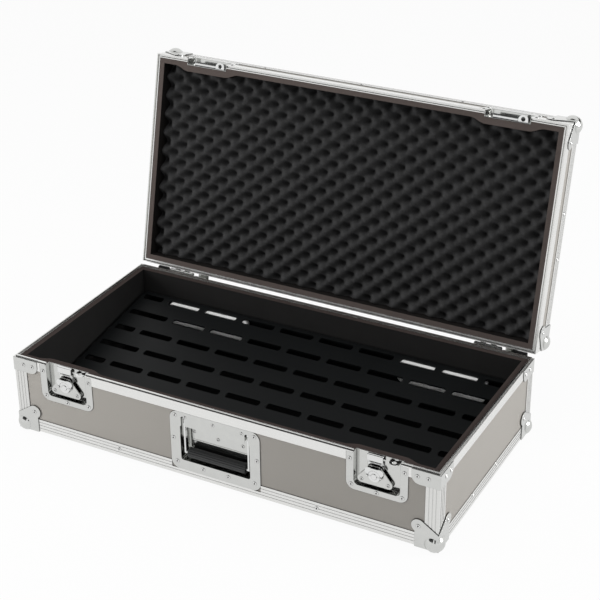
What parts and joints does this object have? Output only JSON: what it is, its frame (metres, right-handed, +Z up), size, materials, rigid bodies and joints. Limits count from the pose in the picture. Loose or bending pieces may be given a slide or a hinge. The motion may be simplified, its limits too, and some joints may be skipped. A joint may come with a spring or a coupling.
{
  "type": "guitar pedal case",
  "caption": "Flight case for guitar pedals with a hinged foam-lined lid, recessed butterfly latches, a drop handle and a sloping slotted deck.",
  "frame": {"origin": "centre of the bottom panel's outer face", "axes": "+X along the length to the right, -Y out of the front with the latches and handle, +Z up"},
  "size_m": [0.8152, 0.5679, 0.5445],
  "materials": {
    "laminate": "satin",
    "extrusion": "satin",
    "plated_steel": "polished",
    "spring_steel": "satin",
    "padded_board": "matte",
    "foam": "matte",
    "deck": "matte",
    "loop_strip": "satin",
    "grip_rubber": "satin",
    "buffer_rubber": "matte"
  },
  "bodies": {
    "base": {"base_bottom_panel": "laminate", "base_front_panel": "laminate", "base_back_panel": "laminate", "base_left_panel": "laminate", "base_right_panel": "laminate", "base_bottom_edges": "extrusion", "base_corner_posts": "extrusion", "base_front_rim": "extrusion", "base_back_rim": "extrusion", "base_side_rims": "extrusion", "base_floor_lining": "padded_board", "base_wall_lining": "padded_board", "base_ball_corners": "plated_steel", "base_rim_braces": "plated_steel", "pedal_deck": "deck", "power_frame_left": "loop_strip", "power_frame_right": "loop_strip", "latch_dish_left": "plated_steel", "latch_dish_right": "plated_steel", "latch_cover_left": "plated_steel", "latch_cover_right": "plated_steel", "latch_padlock_tabs": "plated_steel", "handle_dish": "plated_steel", "handle_bracket": "plated_steel", "handle_pins": "plated_steel", "handle_springs": "spring_steel", "hinge_base_leaves": "plated_steel", "hinge_pins": "plated_steel", "hinge_buffers": "buffer_rubber"},
    "lid": {"lid_top_panel": "laminate", "lid_front_panel": "laminate", "lid_back_panel": "laminate", "lid_left_panel": "laminate", "lid_right_panel": "laminate", "lid_top_edges": "extrusion", "lid_corner_posts": "extrusion", "lid_front_rim": "extrusion", "lid_back_rim": "extrusion", "lid_side_rims": "extrusion", "lid_wall_lining": "padded_board", "lid_foam": "foam", "lid_ball_corners": "plated_steel", "keeper_dishes": "plated_steel", "keepers": "plated_steel", "lid_padlock_tabs": "plated_steel", "hinge_lid_leaves": "plated_steel"},
    "latch_rotor_left": {"latch_rotor_left": "plated_steel"},
    "latch_wing_left": {"latch_wing_left": "plated_steel"},
    "latch_slider_left": {"latch_slider_left": "plated_steel"},
    "latch_hook_left": {"latch_hook_left": "plated_steel"},
    "latch_rotor_right": {"latch_rotor_right": "plated_steel"},
    "latch_wing_right": {"latch_wing_right": "plated_steel"},
    "latch_slider_right": {"latch_slider_right": "plated_steel"},
    "latch_hook_right": {"latch_hook_right": "plated_steel"},
    "handle": {"handle_bail": "plated_steel", "handle_grip": "grip_rubber"}
  },
  "joints": [
    {"name": "lid_hinge", "type": "hinge", "parent": "base", "child": "lid", "pos_m": [0, 0.205, 0.14], "axis": [1, 0, 0], "range_deg": [0, 103]},
    {"name": "latch_turn_left", "type": "hinge", "parent": "base", "child": "latch_rotor_left", "pos_m": [-0.2985, -0.194, 0.1026], "axis": [0, -1, 0], "range_deg": [0, 180]},
    {"name": "wing_fold_left", "type": "hinge", "parent": "latch_rotor_left", "child": "latch_wing_left", "pos_m": [-0.2985, -0.1973, 0.1026], "axis": [1, 0, 0], "range_deg": [0, 90]},
    {"name": "hook_lift_left", "type": "slide", "parent": "base", "child": "latch_slider_left", "axis": [0, 0, 1], "range_m": [0, 0.016]},
    {"name": "hook_tilt_left", "type": "hinge", "parent": "latch_slider_left", "child": "latch_hook_left", "pos_m": [-0.2985, -0.1916, 0.126], "axis": [1, 0, 0], "range_deg": [0, 20]},
    {"name": "latch_turn_right", "type": "hinge", "parent": "base", "child": "latch_rotor_right", "pos_m": [0.2875, -0.194, 0.1026], "axis": [0, -1, 0], "range_deg": [0, 180]},
    {"name": "wing_fold_right", "type": "hinge", "parent": "latch_rotor_right", "child": "latch_wing_right", "pos_m": [0.2875, -0.1973, 0.1026], "axis": [1, 0, 0], "range_deg": [0, 90]},
    {"name": "hook_lift_right", "type": "slide", "parent": "base", "child": "latch_slider_right", "axis": [0, 0, 1], "range_m": [0, 0.016]},
    {"name": "hook_tilt_right", "type": "hinge", "parent": "latch_slider_right", "child": "latch_hook_right", "pos_m": [0.2875, -0.1916, 0.126], "axis": [1, 0, 0], "range_deg": [0, 20]},
    {"name": "handle_swing", "type": "hinge", "parent": "base", "child": "handle", "pos_m": [0, -0.191, 0.108], "axis": [-1, 0, 0], "range_deg": [0, 90], "stiffness_Nm_per_rad": 0.05, "springref_deg": -17.19}
  ],
  "couplings": [
    {"joint": "hook_lift_left", "follows": "latch_turn_left", "m_per_rad": 0.005092},
    {"joint": "hook_lift_right", "follows": "latch_turn_right", "m_per_rad": 0.005092}
  ]
}
